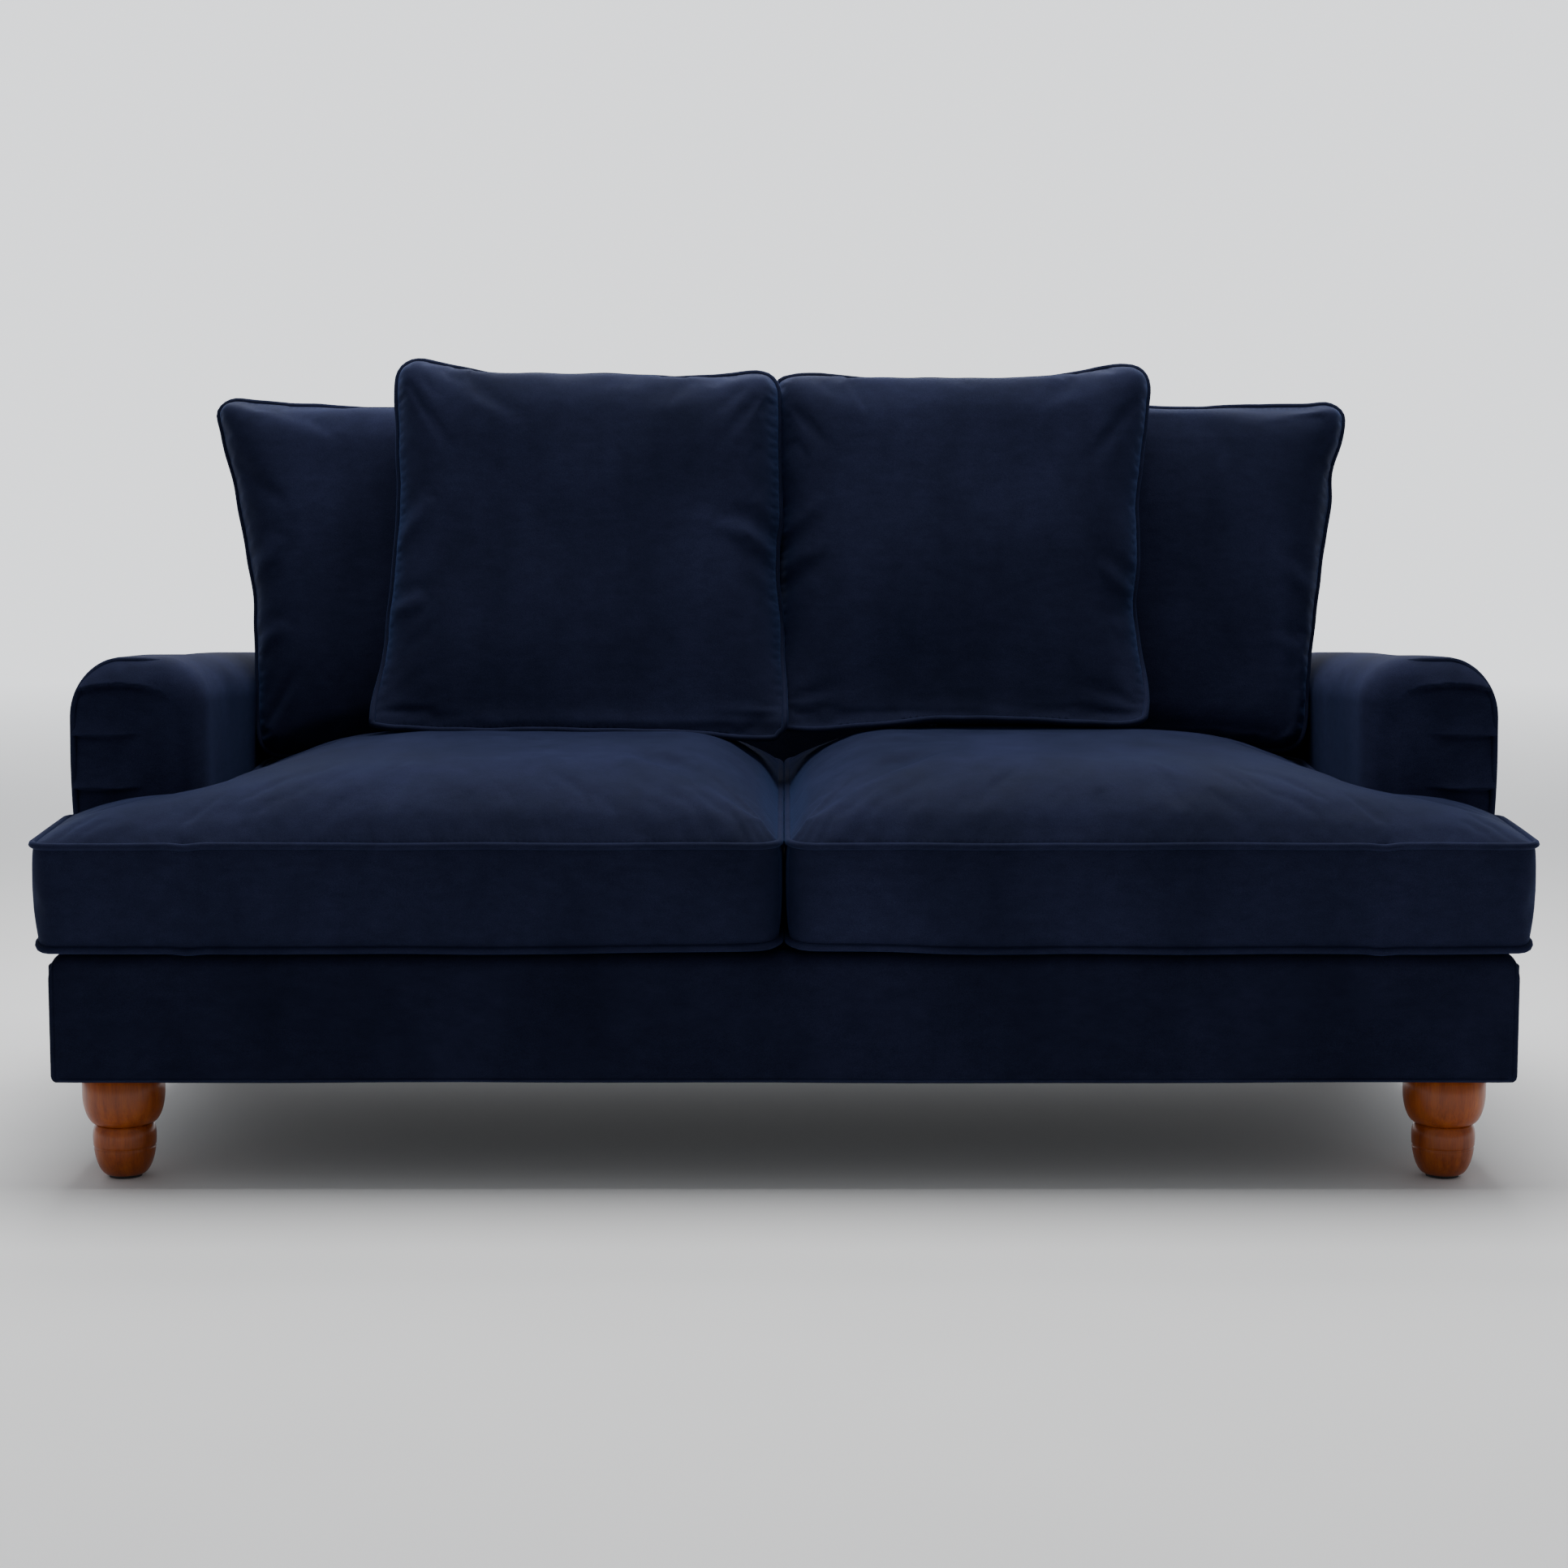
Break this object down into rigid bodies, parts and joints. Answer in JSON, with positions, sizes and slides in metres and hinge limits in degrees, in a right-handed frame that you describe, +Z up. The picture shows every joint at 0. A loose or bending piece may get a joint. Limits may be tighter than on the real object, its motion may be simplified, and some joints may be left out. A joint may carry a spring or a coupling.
{
  "type": "scatter-back sofa",
  "caption": "Scatter-back sofa with loose T-shaped seat cushions, piped back cushions, set-back pleated arms and turned wooden feet.",
  "frame": {"origin": "on the floor, at the centre of the sofa's width and depth", "axes": "+X to the right seen from the front, +Y from the front to the back, +Z up"},
  "size_m": [1.8844, 0.95, 1.0485],
  "materials": {
    "velvet": "soft-pile velvet with a sheen at grazing angles",
    "piping_velvet": "velvet-covered cord",
    "black_lining": "woven lining cloth",
    "foam": "open-cell foam",
    "fibre": "loose fibre in a lining",
    "frame_timber": "planed softwood",
    "stained_wood": "satin lacquer over a golden-brown stain",
    "plated_steel": "zinc plate",
    "glide_plastic": "moulded"
  },
  "bodies": {
    "sofa_frame": {"front_rail": "frame_timber", "rear_rail": "frame_timber", "seat_back_rail": "frame_timber", "side_rails": "frame_timber", "centre_rail": "frame_timber", "corner_blocks": "frame_timber", "arm_front_posts": "frame_timber", "arm_rear_posts": "frame_timber", "arm_top_rails": "frame_timber", "back_posts": "frame_timber", "back_rails": "frame_timber", "seat_springs": "plated_steel", "spring_clips": "plated_steel", "back_webbing": "black_lining", "deck_pad": "black_lining", "front_border": "velvet", "side_border_left": "velvet", "side_border_right": "velvet", "back_panel": "velvet", "back_pad": "velvet", "arm_shell_left": "velvet", "arm_shell_right": "velvet", "arm_facing_left": "velvet", "arm_facing_right": "velvet", "arm_piping": "piping_velvet", "dust_cover": "black_lining", "foot_front_left": "stained_wood", "foot_front_right": "stained_wood", "foot_rear_left": "stained_wood", "foot_rear_right": "stained_wood", "foot_bolts": "plated_steel", "tee_nuts": "plated_steel", "foot_glides": "glide_plastic"},
    "seat_cushion_left": {"seat_cover_left": "velvet", "seat_foam_left": "foam", "seat_piping_left": "piping_velvet", "seat_zip_left": "black_lining"},
    "seat_slider_left": {"seat_zip_slider_left": "plated_steel"},
    "seat_cushion_right": {"seat_cover_right": "velvet", "seat_foam_right": "foam", "seat_piping_right": "piping_velvet", "seat_zip_right": "black_lining"},
    "seat_slider_right": {"seat_zip_slider_right": "plated_steel"},
    "back_cushion_outer_left": {"back_cover_outer_left": "velvet", "back_filling_outer_left": "fibre", "back_piping_outer_left": "piping_velvet"},
    "back_slider_outer_left": {"back_zip_slider_outer_left": "plated_steel"},
    "back_cushion_inner_left": {"back_cover_inner_left": "velvet", "back_filling_inner_left": "fibre", "back_piping_inner_left": "piping_velvet"},
    "back_slider_inner_left": {"back_zip_slider_inner_left": "plated_steel"},
    "back_cushion_inner_right": {"back_cover_inner_right": "velvet", "back_filling_inner_right": "fibre", "back_piping_inner_right": "piping_velvet"},
    "back_slider_inner_right": {"back_zip_slider_inner_right": "plated_steel"},
    "back_cushion_outer_right": {"back_cover_outer_right": "velvet", "back_filling_outer_right": "fibre", "back_piping_outer_right": "piping_velvet"},
    "back_slider_outer_right": {"back_zip_slider_outer_right": "plated_steel"}
  },
  "joints": [
    {"name": "seat_left_pulls_out", "type": "slide", "parent": "sofa_frame", "child": "seat_cushion_left", "axis": [0, -0.9984, -0.0558], "range_m": [0, 0.75]},
    {"name": "seat_right_pulls_out", "type": "slide", "parent": "sofa_frame", "child": "seat_cushion_right", "axis": [0, -0.9984, -0.0558], "range_m": [0, 0.75]},
    {"name": "back_outer_left_lifts_off", "type": "slide", "parent": "sofa_frame", "child": "back_cushion_outer_left", "axis": [0, 0.2079, 0.9781], "range_m": [0, 0.6]},
    {"name": "back_inner_left_lifts_off", "type": "slide", "parent": "sofa_frame", "child": "back_cushion_inner_left", "axis": [0, 0.2079, 0.9781], "range_m": [0, 0.6]},
    {"name": "back_inner_right_lifts_off", "type": "slide", "parent": "sofa_frame", "child": "back_cushion_inner_right", "axis": [0, 0.2079, 0.9781], "range_m": [0, 0.6]},
    {"name": "back_outer_right_lifts_off", "type": "slide", "parent": "sofa_frame", "child": "back_cushion_outer_right", "axis": [0, 0.2079, 0.9781], "range_m": [0, 0.6]},
    {"name": "seat_zip_left_runs", "type": "slide", "parent": "seat_cushion_left", "child": "seat_slider_left", "axis": [1, 0, 0], "range_m": [0, 0.55]},
    {"name": "seat_zip_right_runs", "type": "slide", "parent": "seat_cushion_right", "child": "seat_slider_right", "axis": [-1, 0, 0], "range_m": [0, 0.55]},
    {"name": "back_zip_outer_left_runs", "type": "slide", "parent": "back_cushion_outer_left", "child": "back_slider_outer_left", "axis": [0.9976, 0.0145, 0.0682], "range_m": [0, 0.36]},
    {"name": "back_zip_inner_left_runs", "type": "slide", "parent": "back_cushion_inner_left", "child": "back_slider_inner_left", "axis": [1, 0, 0], "range_m": [0, 0.36]},
    {"name": "back_zip_inner_right_runs", "type": "slide", "parent": "back_cushion_inner_right", "child": "back_slider_inner_right", "axis": [-1, 0, 0], "range_m": [0, 0.36]},
    {"name": "back_zip_outer_right_runs", "type": "slide", "parent": "back_cushion_outer_right", "child": "back_slider_outer_right", "axis": [-0.9976, 0.0145, 0.0682], "range_m": [0, 0.36]}
  ]
}
